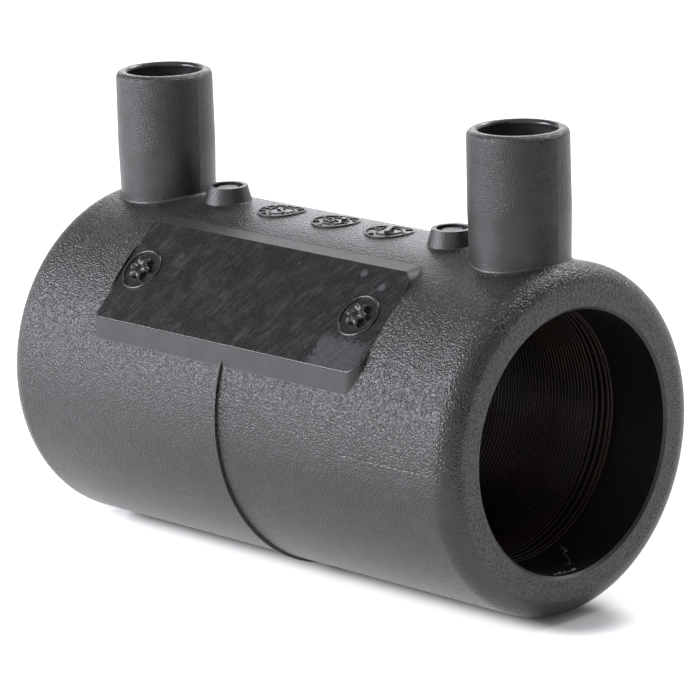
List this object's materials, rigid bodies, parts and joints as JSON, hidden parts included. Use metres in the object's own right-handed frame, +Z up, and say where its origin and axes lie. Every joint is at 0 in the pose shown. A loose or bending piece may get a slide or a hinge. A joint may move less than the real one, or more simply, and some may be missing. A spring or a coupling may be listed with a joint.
{
  "type": "electrofusion pipe coupler",
  "caption": "Black moulded electrofusion coupler for 32 mm plastic pipe, with shrouded terminal pins, fusion indicators and a heating wire wound inside the bore.",
  "frame": {"origin": "on the centre line of the pipe bore, half way between the two ends", "axes": "+X along the pipe bore, +Z up along the terminal pins, -Y towards the side with the label pad"},
  "size_m": [0.079, 0.044, 0.0594],
  "materials": {
    "body_plastic": "satin",
    "wire_metal": "satin",
    "pin_brass": "satin"
  },
  "bodies": {
    "root": {"coupler_body": "body_plastic", "heating_wire": "wire_metal", "terminal_pin_left": "pin_brass", "terminal_pin_right": "pin_brass"}
  },
  "joints": []
}
